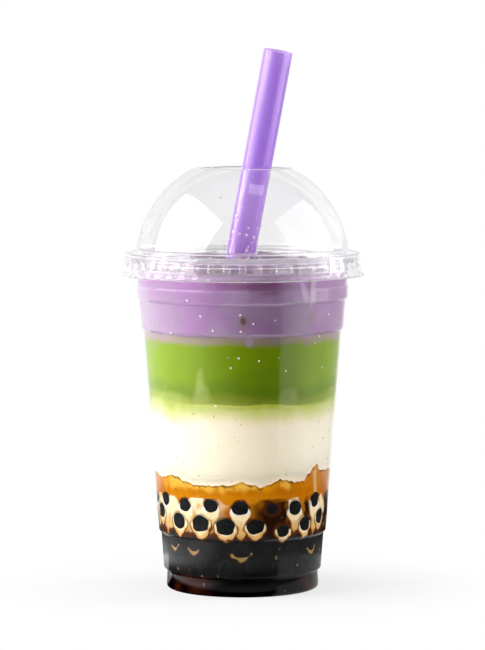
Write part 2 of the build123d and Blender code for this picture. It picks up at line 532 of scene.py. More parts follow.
def clear_plastic(name, tint, ior, ripple, clouded):
    """PET sheet, thermoformed: clear and glossy, with the faint ripple of drawn sheet that
    makes highlights waver. Light from the lamps passes straight through it. clouded lists
    (lowest, highest, share) bands that are whitened: on the lid by fog, and on the cup's steps as
    a painted highlight."""
    material, tree = new_material(name)
    place_in = node(tree, "TexCoord").outputs["Object"]
    noise = node(tree, "TexNoise", {"Vector": place_in, "Scale": 1 / ripple, "Detail": 1.0})
    bump = node(tree, "Bump", {"Strength": 0.015, "Distance": 0.3 * MM,
                               "Height": noise.outputs["Fac"]})
    glass = node(tree, "BsdfGlass", {"Color": (*tint, 1.0), "Roughness": 0.0, "IOR": ior,
                                     "Normal": bump})
    fog = node(tree, "BsdfDiffuse", {"Color": (0.85, 0.85, 0.86, 1.0)})
    shine = node(tree, "BsdfTranslucent", {"Color": (0.9, 0.9, 0.91, 1.0)})
    cloud = node(tree, "MixShader", {"Fac": 0.5, 1: fog, 2: shine})
    height = node(tree, "SeparateXYZ", {0: place_in}).outputs["Z"]
    surface = glass
    for lowest, highest, share in clouded:
        soft = min(0.6 * MM, (highest - lowest) / 2)
        above = between(tree, height, lowest, lowest + soft)
        below = between(tree, height, highest, highest - soft)
        inside = node(tree, "Math", {0: above, 1: below}, operation="MULTIPLY")
        amount = node(tree, "Math", {0: inside, 1: share}, operation="MULTIPLY")
        surface = node(tree, "MixShader", {"Fac": amount, 1: surface, 2: cloud})
    pass_lamps(tree, surface, (0.95, 0.95, 0.95))
    return material


def straw_plastic(settings):
    """Polypropylene, extruded: a thin milky lilac wall that lets light through and glows,
    with a soft gloss and faint drawing lines along it."""
    material, tree = new_material("extruded_lilac_polypropylene")
    place_in = node(tree, "TexCoord").outputs["Object"]
    stretch = node(tree, "Mapping", {"Vector": place_in, "Scale": (1.0, 1.0, 0.02)})
    lines = node(tree, "TexNoise", {"Vector": stretch, "Scale": 1 / (0.8 * MM), "Detail": 2.0})
    bump = node(tree, "Bump", {"Strength": 0.05, "Distance": 0.05 * MM,
                               "Height": lines.outputs["Fac"]})
    streaks = node(tree, "TexNoise", {"Vector": stretch, "Scale": 1 / (2.5 * MM), "Detail": 1.0})
    tint = mix_colour(tree, between(tree, streaks.outputs["Fac"], 0.35, 0.65), settings.tint,
                      settings.tint_pale)
    low = between(tree, node(tree, "SeparateXYZ", {0: place_in}).outputs["Z"],
                  level["taro_layer"] + settings.shade_rise, level["taro_layer"])
    tint = mix_colour(tree, low, tint, settings.tint_low, "MULTIPLY")
    body = node(tree, "BsdfDiffuse", {"Color": tint})
    glow = node(tree, "BsdfTranslucent", {"Color": (*settings.glow, 1.0)})
    milky = node(tree, "MixShader", {"Fac": settings.glowing, 1: body, 2: glow})
    clear = node(tree, "BsdfTransparent", {"Color": (*settings.glow, 1.0)})
    edge_on = node(tree, "LayerWeight", {"Blend": 0.35}).outputs["Facing"]
    through = node(tree, "MapRange", {"Value": edge_on, "From Min": 0.35, "From Max": 0.85,
                                      "To Min": settings.through,
                                      "To Max": settings.through_edge})
    both = node(tree, "MixShader", {"Fac": through, 1: milky, 2: clear})
    shine = node(tree, "BsdfGlossy", {"Color": WHITE, "Roughness": 0.2,
                                      "Normal": bump})
    outer = node(tree, "Math", {0: 1.0, 1: node(tree, "NewGeometry").outputs["Backfacing"]},
                 operation="SUBTRACT")
    graze = node(tree, "Math", {0: node(tree, "Fresnel", {"IOR": 1.85}),
                                1: outer}, operation="MULTIPLY")
    glossed = node(tree, "MixShader", {"Fac": graze, 1: both, 2: shine})
    finish_material(tree, glossed)
    return material


def drink_body(tree, tint, spread, scatter):
    """Opaque milky drink: light wanders inside it for the length spread. Close to a joint
    between two layers it doesn't, or the joint would look like a dark crack."""
    inner = node(tree, "Attribute", None, attribute_name="inner").outputs["Fac"]
    return node(tree, "BsdfPrincipled", {
        "Base Color": tint, "Roughness": 0.35, "IOR": 1.34, "Specular IOR Level": 0.0,
        "Subsurface Weight": inner, "Subsurface Radius": scatter, "Subsurface Scale": spread})


def wet_top(tree, body):
    """The free surface of a drink is wet and mirrors what stands behind it; the side, pressed
    against the plastic, isn't."""
    up = node(tree, "SeparateXYZ", {0: node(tree, "NewGeometry").outputs["Normal"]})
    shine = node(tree, "BsdfGlossy", {"Color": WHITE, "Roughness": 0.08})
    graze = node(tree, "Fresnel", {"IOR": 1.34})
    share = node(tree, "Math", {0: graze,
                                1: between(tree, up.outputs["Z"], 0.8, 0.95)},
                 operation="MULTIPLY")
    return node(tree, "MixShader", {"Fac": share, 1: body, 2: shine})


def height_with_drips(tree, size, amount):
    """The height of a point, in metres, moved up and down by drips of this size."""
    place_in = node(tree, "TexCoord").outputs["Object"]
    apart = node(tree, "SeparateXYZ", {0: place_in})
    stretch = node(tree, "Mapping", {"Vector": place_in, "Scale": (1.0, 1.0, 0.35)})
    drips = node(tree, "TexNoise", {"Vector": stretch, "Scale": 1 / size,
                                    "Detail": 3.0, "Roughness": 0.55})
    centred = node(tree, "Math", {0: drips.outputs["Fac"], 1: 0.5}, operation="SUBTRACT")
    moved = node(tree, "Math", {0: centred, 1: 2 * amount, 2: apart.outputs["Z"]},
                 operation="MULTIPLY_ADD")
    return moved


def milk_tea_colours(tree, drink):
    """Colour of the three milky layers by height: matcha turns pale where it meets the milk,
    and taro drips into the matcha. Painted marks lie over it."""
    place_in = node(tree, "TexCoord").outputs["Object"]
    height = height_with_drips(tree, 9 * MM, 2.6 * MM)
    swirled = height_with_drips(tree, 16 * MM, 5 * MM)
    cloud = node(tree, "TexNoise", {"Vector": place_in, "Scale": 1 / (30 * MM), "Detail": 2.0})
    taro = mix_colour(tree, between(tree, cloud.outputs["Fac"], 0.4, 0.65),
                      drink.taro, drink.taro_pale)
    milk_top, matcha_top = level["milk_layer"], level["matcha_layer"]
    layered = drink.milk
    for line, low, high, tint in (
            (swirled, milk_top - 7.5 * MM, milk_top + 2 * MM, drink.matcha_pale),
            (swirled, milk_top + 0.5 * MM, milk_top + 4 * MM, drink.matcha_olive),
            (swirled, milk_top + 4 * MM, milk_top + 8 * MM, drink.matcha_deep),
            (swirled, milk_top + 8 * MM, milk_top + 14 * MM, drink.matcha),
            (height, matcha_top - 3.2 * MM, matcha_top - 0.2 * MM, drink.taro_mixed),
            (height, matcha_top, matcha_top + 2.5 * MM, taro)):
        layered = mix_colour(tree, between(tree, line, low, high), layered, tint)
    speck = node(tree, "TexNoise", {"Vector": place_in, "Scale": 1 / (1.6 * MM), "Detail": 0.0})
    dusted = node(tree, "Math", {0: between(tree, speck.outputs["Fac"], 0.8, 0.84),
                                 1: between(tree, height, matcha_top, matcha_top - 5 * MM)},
                  operation="MULTIPLY")
    layered = mix_colour(tree, dusted, layered, drink.speck)
    marks = node(tree, "Attribute", None, attribute_name="marks")
    return mix_colour(tree, marks.outputs["Alpha"], layered, marks.outputs["Color"])


def taro_milk(drink):
    """Taro milk: an opaque lilac liquid. Red and violet light travel further in it than
    green, so it turns pinker in the shade."""
    material, tree = new_material("opaque_taro_milk")
    body = drink_body(tree, milk_tea_colours(tree, drink), 15 * MM, (1.0, 0.27, 1.0))
    finish_material(tree, wet_top(tree, body))
    return material


def matcha_milk(drink):
    """Matcha milk: fine green powder stirred into milk, opaque and soft."""
    material, tree = new_material("opaque_matcha_milk")
    body = drink_body(tree, milk_tea_colours(tree, drink), 3 * MM, (0.8, 1.0, 0.3))
    finish_material(tree, body)
    return material


def ivory_milk(drink):
    """Whole milk: light wanders so far in it that its shade side stays bright."""
    material, tree = new_material("ivory_whole_milk")
    colours = milk_tea_colours(tree, drink)
    apart = node(tree, "SeparateXYZ", {0: node(tree, "TexCoord").outputs["Object"]})
    # Painted shade: the milk is warmer and a little darker towards the caramel below.
    warm = between(tree, apart.outputs["Z"], level["caramel_layer"] + 12 * MM,
                   level["caramel_layer"])
    tint = mix_colour(tree, warm, colours, drink.milk_shade, "MULTIPLY")
    body = drink_body(tree, tint, 12 * MM, (1.0, 1.0, 1.0))
    finish_material(tree, body)
    return material


def marbled_syrup(name, spread):
    """Brown sugar syrup, from orange caramel to black, marbled with cream. The colours are
    painted on the side, where it lies against the wall; fine grain breaks their edges, as
    milk solids do in syrup. Light wanders inside it for the length spread."""
    material, tree = new_material(name)
    painted = node(tree, "Attribute", None, attribute_name="marbling").outputs["Color"]
    place_in = node(tree, "TexCoord").outputs["Object"]
    grain = node(tree, "TexNoise", {"Vector": place_in, "Scale": 1 / (1.1 * MM), "Detail": 3.0})
    shade_of = node(tree, "MapRange", {"Value": grain.outputs["Fac"], "From Min": 0.3,
                                       "From Max": 0.7, "To Min": 0.9, "To Max": 1.06})
    tint = mix_colour(tree, 1.0, painted, shade_of, "MULTIPLY")
    body = drink_body(tree, tint, spread, (1.0, 0.7, 0.4))
    finish_material(tree, body)
    return material


def tapioca(pearls):
    """Cooked tapioca in brown sugar: near-black, smooth and wet."""
    material, tree = new_material("brown_sugar_tapioca")
    place_in = node(tree, "TexCoord").outputs["Object"]
    noise = node(tree, "TexNoise", {"Vector": place_in, "Scale": 1 / (3 * MM), "Detail": 2.0})
    tint = mix_colour(tree, between(tree, noise.outputs["Fac"], 0.35, 0.7), pearls.tint,
                      pearls.tint_pale)
    body = node(tree, "BsdfPrincipled", {"Base Color": tint, "Roughness": 0.3, "IOR": 1.42,
                                         "Specular IOR Level": 0.1})
    finish_material(tree, body)
    return material


def iced_taro(ice):
    """Ice with taro milk running off it: clear in patches, lilac and wet elsewhere. The lilac is a
    deep magenta, far darker than the taro milk: painted shade.
    """
    material, tree = new_material("taro_coated_ice")
    place_in = node(tree, "TexCoord").outputs["Object"]
    noise = node(tree, "TexNoise", {"Vector": place_in, "Scale": 1 / (9 * MM), "Detail": 2.0})
    coat = node(tree, "BsdfPrincipled", {"Base Color": (*ice.tint, 1.0), "Roughness": 0.12,
                                         "Subsurface Weight": 0.6,
                                         "Subsurface Radius": (1.0, 0.5, 1.0),
                                         "Subsurface Scale": 3 * MM})
    glass = node(tree, "BsdfGlass", {"Color": (0.96, 0.96, 0.98, 1.0), "Roughness": 0.03,
                                     "IOR": 1.31})
    both = node(tree, "MixShader", {"Fac": between(tree, noise.outputs["Fac"], 0.4, 0.55),
                                    1: glass, 2: coat})
    finish_material(tree, both)
    return material


def water():
    """Condensed water: small drops that bend the light behind them, with white diffuse mixed in
    as a painted highlight, so that they look partly white."""
    material, tree = new_material("condensed_water")
    glass = node(tree, "BsdfGlass", {"Color": WHITE, "Roughness": 0.0, "IOR": 1.33})
    # Painted highlight: a share of white diffuse makes the drops look bright.
    painted_glint = node(tree, "BsdfDiffuse", {"Color": WHITE})
    bead = node(tree, "MixShader", {"Fac": 0.4, 1: glass, 2: painted_glint})
    pass_lamps(tree, bead)
    return material


# Drink shapes -----------------------------------------------------------------------


def layer_edges(drink):
    """The uneven line where each layer meets the one above it, as a height by bearing."""
    crept = [(-180, 0.4), (-165, 2.0), (-150, 0.8), (-128, 2.6), (-112, 0.4), (-95, 1.4),
             (-78, 2.0), (-66, 0.5), (-51, 2.5), (-44, 1.0), (-34, -0.8), (-24, -1.0),
             (-14, -0.7), (-7, -0.4), (0, 1.0), (5, -0.2), (12, -1.5), (19, 0.0), (25, 1.8),
             (29, 1.3), (35, 0.2), (44, 0.2), (47, 2.8), (52, 5.0), (56, 7.2), (59, 4.6),
             (62, 3.6), (75, 3.4), (90, 2.4), (105, 0.4), (120, 1.8), (135, -0.5), (150, 1.4),
             (168, -0.3), (180, 0.4)]

    def caramel_line(bearing):
        """How far the caramel has crept up the wall: (bearing in degrees, rise in mm)."""
        return MM * np.interp(np.degrees(turn_from(bearing, 0.0)), *zip(*crept))

    ripple = waves(31, 0.35 * MM, 30, 90)
    taro_line = waves(5, 1.2 * MM, 2, 22)
    milk_line = waves(9, 0.8 * MM, 1, 12)
    return {
        "pearl_syrup_layer": lambda b: level["pearl_syrup_layer"] + 0 * b,
        "marbled_pearl_layer": lambda b: level["marbled_pearl_layer"] + 0 * b,
        "caramel_layer": lambda b: level["caramel_layer"] + caramel_line(b) + ripple(b),
        "milk_layer": lambda b: level["milk_layer"] + drink.milk_rise + milk_line(b),
        "matcha_layer": lambda b: level["matcha_layer"] + taro_line(b),
        "taro_layer": lambda b: level["taro_layer"] + 0 * b,
    }


def drink_layer(name, material, bottom, top, cup, drink, fine=1.0):
    """One layer of the drink: its side lies just inside the cup's wall. bottom is None for
    the lowest layer, which follows the cup's floor. fine makes its faces smaller."""
    inset = cup.wall - drink.reach
    radius_at = wall_radius(cup, inset)
    count = int(drink.segments * fine)
    bearings = np.arange(count) * 2 * pi / count
    high = top(bearings) - drink.gap / 2
    middle_out = (0.0, 0.4, 0.75, 0.92)
    rings = []
    if bottom is None:
        floor = [point for point in cup_face(cup, inset) if point[1] < drink.floor_edge]
        for radius, height in floor:
            rings.append((np.full(count, radius), np.full(count, height)))
        low = np.full(count, floor[-1][1])
    else:
        low = bottom(bearings) + drink.gap / 2
        for share in middle_out:
            rings.append((share * radius_at(low), low.mean() + (low - low.mean()) * share ** 3))
    rows = ceil((high.mean() - low.mean()) / drink.row * fine)
    for step in range(rows + 1):
        height = low + (high - low) * step / rows
        rings.append((radius_at(height), height))
    for share in middle_out[::-1]:
        rings.append((share * radius_at(high), high.mean() + (high - high.mean()) * share ** 3))
    vertices = []
    for radius, height in rings:
        vertices += zip(radius * np.sin(bearings), -radius * np.cos(bearings), height)
    piece = mesh_object(name, vertices, grid_faces(len(rings), count), material, 60)
    points, _, bearing = side_points(piece)
    margin = top(bearing) - points[:, 2]
    if bottom is not None:
        margin = np.minimum(margin, points[:, 2] - bottom(bearing))
    inner = smooth(margin, 0.3 * MM, 2.5 * MM)
    layer = piece.data.attributes.new("inner", "FLOAT", "POINT")
    layer.data.foreach_set("value", np.ascontiguousarray(inner, np.float32))
    return piece


# Where round the cup, as (bearing, half width) in degrees, the syrup is creamy, dark, or,
# at the foot, painted red as light glowing in thin syrup.
CREAM_PATCHES = [(-46, 32), (38, 6), (62, 9), (104, 20), (-118, 22), (166, 26)]
DARK_PATCHES = [(21, 12), (48, 3), (80, 10), (-90, 8), (132, 14), (-150, 14)]
RED_PATCHES = [(-48, 24), (64, 16), (140, 30), (-140, 26)]


# One pearl's flat side on the wall: where it is, its half width and half height, its row
# from the top, and whether cream lies under it where the syrup is dark.
Pearl = namedtuple("Pearl", "bearing height wide tall row streaked")


def pearl_layout(pearls):
    """Rows of pearls round the wall. Those on the shown side are set one by one, as
    (bearing in degrees, height, half width and half height in mm, row, cream under it)."""
    shown = [
        (-62, 41.2, 3.1, 3.2, 0, False), (-41.5, 39.7, 3.3, 3.0, 0, False),
        (-21.5, 40.2, 3.6, 2.9, 0, False), (-1.5, 39.4, 4.0, 3.0, 0, False),
        (20, 38.8, 3.0, 2.5, 0, False), (37.5, 38.7, 3.5, 3.3, 0, False),
        (56.5, 41.2, 3.2, 3.4, 0, False),
        (-70, 35.4, 3.4, 3.4, 1, False), (-48, 32.5, 3.9, 3.6, 1, False),
        (-29.5, 32.2, 4.3, 3.7, 1, False), (-11.5, 31.3, 4.6, 3.6, 1, False),
        (8.8, 31.3, 4.1, 3.3, 1, False), (28.5, 29.0, 3.2, 2.7, 1, False),
        (47, 31.3, 3.3, 3.3, 1, False), (64, 33.4, 3.4, 3.2, 1, False),
        (-57, 22.8, 3.2, 2.8, 2, True), (-37, 22.4, 3.4, 2.9, 2, True),
        (-19, 22.3, 3.7, 3.2, 2, False), (-1, 20.9, 4.6, 3.3, 2, True),
        (18, 22.0, 3.8, 3.2, 2, False), (37, 21.6, 3.6, 3.2, 2, False),
        (58, 21.8, 3.4, 3.1, 2, True),
    ]
    found = [Pearl(radians(turn), height * MM, wide * MM, tall * MM, row, streaked)
             for turn, height, wide, tall, row, streaked in shown]
    source = random.Random(pearls.seed)
    spacing = 2 * pi / pearls.per_row
    rows = [(39.6 * MM, 0.94, 0.5, 68), (31.4 * MM, 1.05, 0.0, 76), (21.8 * MM, 1.0, 0.5, 70),
            (13.6 * MM, 1.0, 0.0, 0)]
    for row, (height, size, turn, taken) in enumerate(rows):
        for i in range(pearls.per_row):
            bearing = radians(-11.5) + spacing * (i + turn) + source.gauss(0, radians(1.4))
            bearing = (bearing + pi) % (2 * pi) - pi
            grow = size * source.uniform(0.86, 1.12)
            pearl = Pearl(bearing, height + source.gauss(0, 0.8 * MM),
                          pearls.half_width * grow * source.uniform(0.92, 1.06),
                          pearls.half_height * grow * source.uniform(0.92, 1.06), row, i % 3 == 0)
            if abs(degrees(bearing)) > taken:
                found.append(pearl)
    return found


def turn_from(bearing, middle):
    """How far round a bearing is from a middle one, signed, in radians."""
    return (bearing - middle + pi) % (2 * pi) - pi


def smooth(value, low, high):
    """The same as between, for numbers."""
    t = np.clip((value - low) / (high - low), 0, 1)
    return t * t * (3 - 2 * t)


def wobble(points, seed, size, amount):
    """A smooth seeded field over points, in bumps of this size and about this amount."""
    source = random.Random(seed)
    total = np.zeros(len(points))
    for _ in range(12):
        way = Vector([source.gauss(0, 1) for _ in range(3)]).normalized()
        way *= 2 * pi / (2 * size * source.uniform(0.6, 1.5))
        total += np.sin(points @ np.array(way) + source.uniform(0, 2 * pi))
    return amount * total / 12 ** 0.5


def lay_over(tints, tint, amount):
    """Lays one colour over painted ones by amount, 0 to 1."""
    amount = np.clip(amount, 0, 1)[:, None]
    return tints * (1 - amount) + np.array(tint) * amount


def patch_round(bearing, patches, wobbly):
    """1 inside any (bearing, half width) patch, in degrees, falling to 0 at its edges."""
    amount = np.zeros(len(bearing))
    for middle, half in patches:
        turn = np.abs(np.degrees(turn_from(bearing, radians(middle)))) + wobbly
        amount = np.maximum(amount, 1 - smooth(turn, half * 0.7, half * 1.15))
    return amount


def store_tints(piece, name, tints, amount=None):
    """Stores painted colours, with how much they cover as alpha, as a point attribute."""
    alpha = np.ones(len(tints)) if amount is None else amount
    values = np.column_stack([tints, alpha])
    layer = piece.data.attributes.new(name, "FLOAT_COLOR", "POINT")
    layer.data.foreach_set("color", np.ascontiguousarray(values, np.float32).ravel())


def column_of_cream(pearl, across, down, drink):
    """Cream that hugs an upper pearl and runs down from it in a column: how far inside the
    column each point is, its colour, and how deep the caramel round it is."""
    drop = pearl.height - level["pearl_syrup_layer"] - own_share(pearl) * 3 * MM
    share = down / drop
    width = np.interp(share, [-0.12, 0.05, 0.2, 0.36, 0.5, 0.8, 1.0],
                      [0.0, 1.05, 1.22, 0.95, 0.66, 0.6, 0.0]) * pearl.wide
    inside = width - np.abs(across)
    run = np.clip(share, 0, 1)
    tints = np.tile(np.array(drink.cream_cool), (len(across), 1))
    tints = lay_over(tints, drink.cream, smooth(run, 0.1, 0.32))
    tints = lay_over(tints, drink.cream_warm, smooth(run, 0.3, 0.7))
    tints = lay_over(tints, drink.caramel_deep, smooth(run, 0.75, 1.0))
    edge = smooth(inside, -0.6 * MM, -0.1 * MM) * (share < 1.05)
    return edge, smooth(inside, -0.15 * MM, 0.45 * MM), tints


def crescent_of_cream(pearl, across, down, gap, drink):
    """Cream in a pointed crescent under a lower pearl, fainter in the dark syrup: its brown
    edge, how much of it covers each point, and its colour."""
    upper = pearl.row == 1
    faint, widest, thin = (1.0, 1.75, 1.0) if upper else (0.7, 1.05, 0.62)
    lean = np.abs(np.arctan2(across / pearl.wide, down / pearl.tall))
    width = thin * (0.5 * np.clip(np.cos(lean * 0.8), 0, 1)
                    + 0.6 * np.clip(1 - lean / 0.7, 0, 1) ** 1.3) * pearl.tall
    width = np.where(lean > widest, 0.0, width)
    inside = width - gap
    share = np.clip(gap / np.maximum(width, 1e-6), 0, 1)
    tints = np.tile(np.array(drink.cream if upper else drink.cream_warm), (len(across), 1))
    tints = lay_over(tints, drink.cream_warm, smooth(share, 0.15, 0.6))
    tints = lay_over(tints, drink.caramel_deep, smooth(share, 0.75, 1.0))
    under = faint * (lean < widest)
    return (under * smooth(inside, -0.7 * MM, -0.1 * MM),
            under * smooth(inside, -0.1 * MM, 0.35 * MM), tints)


def paint_marbling(piece, layout, drink):
    """Paints the side of the syrup layers. Caramel thins to dark syrup downwards; cream fills
    patches between the upper pearls, runs down from them in columns, and lies in pointed
    crescents under the lower ones, each edged with brown."""
    points, radius, bearing = side_points(piece)
    height = points[:, 2] + wobble(points, 7, 2.2 * MM, 0.35 * MM)
    aside = wobble(points, 8, 2.2 * MM, 0.35 * MM)
    blur = wobble(points, 9, 5 * MM, 1.0)
    top, bed = level["marbled_pearl_layer"], level["pearl_syrup_layer"]
    tints = caramel_tints(points, bearing, drink)
    sink = top - height + blur * 1.5 * MM
    tints = lay_over(tints, drink.caramel_deep, smooth(sink, 1 * MM, 8 * MM))
    tints = lay_over(tints, drink.caramel_dark, smooth(sink, 8 * MM, 14 * MM))
    dark = patch_round(bearing, DARK_PATCHES, blur * 3)
    tints = lay_over(tints, drink.syrup_brown, dark * smooth(sink, -1 * MM, 3 * MM))
    creamy = patch_round(bearing, CREAM_PATCHES, blur * 5)
    creamy = creamy * smooth(sink, 0.2 * MM, 1.6 * MM) * (1 - smooth(sink, 11.5 * MM, 15 * MM))
    tints = lay_over(tints, drink.cream, creamy)
    tan = wobble(points, 14, 3 * MM, 1.0) + smooth(sink, 5 * MM, 12 * MM) * 1.4
    tints = lay_over(tints, drink.cream_warm, creamy * smooth(tan, 0.1, 1.2))
    deep = smooth(bed + 2.6 * MM - height + blur * MM, 0.0, 2.4 * MM)
    tints = lay_over(tints, drink.syrup, deep)
    for pearl in layout:
        across = turn_from(bearing, pearl.bearing) * radius + aside
        down = pearl.height - height
        around = np.hypot(across / pearl.wide, down / pearl.tall)
        gap = (around - 1) * 0.5 * (pearl.wide + pearl.tall)
        shaded = patch_round(np.array([pearl.bearing]), DARK_PATCHES, 0.0)[0]
        if pearl.row <= 1:
            reach = (0.7 + 1.6 * shaded) * MM
            tints = lay_over(tints, drink.caramel_dark,
                             (0.9 - 0.5 * creamy) * (1 - smooth(gap, 0.0, reach)))
        if pearl.row == 0 and shaded < 0.5:
            edge, amount, streak = column_of_cream(pearl, across, down, drink)
            tints = lay_over(tints, drink.caramel_dark, edge * (0.6 - 0.45 * creamy))
        elif pearl.row == 1 or (pearl.row == 2 and pearl.streaked):
            edge, amount, streak = crescent_of_cream(pearl, across, down, gap, drink)
            tints = lay_over(tints, drink.caramel_dark, edge)
        else:
            continue
        tints = lay_over(tints, streak, amount)
    foot = 1 - smooth(height, 8 * MM, 9 * MM)
    tints = lay_over(tints, drink.syrup_black, foot)
    # Painted light: red glow in the thin syrup at the foot.
    glow = patch_round(bearing, RED_PATCHES, blur * 6)
    tints = lay_over(tints, drink.syrup_red, foot * glow * smooth(blur, -1.2, 0.6))
    fleck = wobble(points, 12, 1.5 * MM, 1.0)
    flecks = smooth(fleck + 0.3 * blur, 1.65, 2.1) * (1 - smooth(height, 18 * MM, 25 * MM))
    flecks = flecks * (1 - 0.6 * foot) * smooth(np.abs(np.sin(bearing)), 0.2, 0.5)
    tints = lay_over(tints, drink.cream_warm, 0.5 * flecks)
    store_tints(piece, "marbling", tints)


def own_share(pearl):
    """A share from 0 to 1 that stays with a pearl."""
    return (pearl.bearing * 37.7 + pearl.row * 0.37) % 1.0


def paint_marks(piece, marks):
    """Paints soft marks on a milky layer's side. Each is (bearing in degrees, height, half
    width, half height and sideways lean in millimetres, colour, strength)."""
    points, radius, bearing = side_points(piece)
    ragged = wobble(points, 15, 3 * MM, 0.12)
    tints = np.zeros((len(points), 3))
    cover = np.zeros(len(points))
    for middle, high, half_wide, half_tall, lean, tint, strength in marks:
        turn = turn_from(bearing, radians(middle))
        up = (points[:, 2] / MM - high) / half_tall
        across = (turn * radius / MM - lean * up) / half_wide
        amount = strength * (1 - smooth(np.hypot(across, up) + ragged, 0.55, 1.15))
        amount = amount * (np.abs(turn) < pi / 2)
        joined = cover + amount - cover * amount
        share = np.divide(amount, joined, out=np.zeros_like(amount), where=joined > 0)
        tints = lay_over(tints, tint, share)
        cover = joined
    store_tints(piece, "marks", tints, cover)


def milk_marks(drink):
    """What shows on the milky layers' side: the lid's shade and darker, greyer taro at the left
    and the right, all painted shade; pale taro with painted reflections streaking down it at the
    right;
    drips of taro in the matcha, and clouds of milk rising into it."""
    top = level["taro_layer"] / MM
    matcha_top = level["matcha_layer"] / MM
    milk_top = level["milk_layer"] / MM
    return [
        (15, top - 4.8, 12, 3.8, 0, drink.taro_deep, 0.4),
        (2, top - 3.8, 17, 2.6, 0, drink.taro_deep, 0.38),
        # Painted shade: darker, greyer taro at the left and the right.
        (-64, top - 13, 24, 19, 0, drink.taro_side_shade, 0.5),
        (74, top - 13, 16, 19, 0, drink.taro_side_shade, 0.4),
        (48, top - 8.0, 10, 14, 0, drink.taro_pale, 0.45),
        # Painted reflection: pale streaks down the taro at the right.
        (35.3, top - 7.3, 2.0, 6.5, -1.7, drink.reflection_streak, 0.8),
        (41.3, top - 8.0, 2.0, 8.0, 0.8, drink.reflection_streak, 0.8),
        (38.6, top - 4.5, 0.7, 3.0, -0.4, drink.taro_deep, 0.5),
        (41.5, top - 18.2, 3.0, 3.0, 0, drink.taro_mixed, 0.4),
        (0.6, matcha_top + 8.0, 3.2, 3.2, 0, drink.taro_mixed, 0.6),
        (0.5, matcha_top + 8.3, 1.3, 1.9, 0, drink.taro_brown, 0.75),
        (-36, matcha_top - 0.3, 7, 1.5, 0, drink.taro_mixed, 0.8),
        (-20, matcha_top - 0.2, 5, 1.8, 0, drink.taro_mixed, 0.7),
        (4, matcha_top - 0.4, 2.0, 2.6, 0, drink.taro_pale, 0.7),
        (15, matcha_top - 0.2, 4.5, 1.5, 0, drink.taro_mixed, 0.7),
        (48, matcha_top - 0.3, 5, 1.4, 0, drink.taro_mixed, 0.6),
        (10, milk_top + 13, 16, 6, 0, drink.matcha_deep, 0.5),
        (-26, milk_top + 13, 2.0, 7, 0.6, drink.matcha_pale, 0.45),
        (-26, milk_top + 6, 4.6, 7, 0.8, drink.matcha_pale, 0.5),
        (29, milk_top + 5, 5, 6, 0, drink.matcha_pale, 0.4),
        (-50, milk_top + 3.5, 12, 4, 0, drink.matcha_pale, 0.4),
        (-6, milk_top + 3, 10, 3, 0, drink.matcha_olive, 0.45),
        (150, matcha_top - 0.3, 14, 1.8, 0, drink.taro_mixed, 0.7),
        (-110, matcha_top - 0.3, 10, 1.8, 0, drink.taro_mixed, 0.7),
        (95, milk_top + 6, 8, 9, 0, drink.matcha_pale, 0.5),
        (-140, milk_top + 6, 9, 9, 0, drink.matcha_pale, 0.5),
    ]


def caramel_tints(points, bearing, drink):
    """Caramel on the wall: paler and deeper streaks run down it, and it is painted redder at the
    far left and all along the right, as shade."""
    streaks = waves(41, 1.0, 9, 70)(bearing + 6 * points[:, 2]) + wobble(points, 17, 4 * MM, 0.5)
    tints = np.tile(np.array(drink.caramel), (len(points), 1))
    tints = lay_over(tints, drink.caramel_pale, 0.9 * smooth(streaks, 0.4, 1.6))
    tints = lay_over(tints, drink.caramel_red, 0.85 * smooth(-streaks, 0.4, 1.6))
    # Painted shade: redder caramel at the far left and all along the right.
    shaded_sides = patch_round(bearing, [(62, 42), (-80, 18), (160, 40)], 0.0)
    tints = lay_over(tints, drink.caramel_red, 0.75 * shaded_sides)
    sink = level["caramel_layer"] - points[:, 2] + wobble(points, 18, 3 * MM, 0.8 * MM)
    tints = lay_over(tints, drink.caramel_red, 0.7 * smooth(sink, 1.2 * MM, 4.5 * MM))
    thin = patch_round(bearing, [(-36, 20), (-11, 5), (2, 7), (29, 4)], 0.0)
    return lay_over(tints, drink.caramel_pale, 0.95 * thin * (1 - smooth(sink, 1.5 * MM, 4 * MM)))


def paint_caramel(piece, edge, drink):
    """Paints the caramel band: a dark uneven line along its top edge, and cream that has run
    down into it where it has crept highest."""
    points, _, bearing = side_points(piece)
    below = edge(bearing) - points[:, 2] + wobble(points, 19, 2 * MM, 0.35 * MM)
    tints = caramel_tints(points, bearing, drink)
    turn = np.degrees(bearing) + 250 * (points[:, 2] - level["caramel_layer"])
    run = (1 - smooth(np.abs(turn - 55), 1.0, 2.6)) * smooth(below, 1.2 * MM, 2.2 * MM)
    tints = lay_over(tints, drink.cream_warm, 0.8 * run)
    uneven = 0.5 * (1 + np.tanh(wobble(points, 21, 4 * MM, 1.2)))
    line = (1 - smooth(below, 0.1 * MM, 1.3 * MM)) * (0.3 + 0.6 * uneven)
    tints = lay_over(tints, drink.caramel_dark, line)
    store_tints(piece, "marbling", tints)


# Operators --------------------------------------------------------------------------


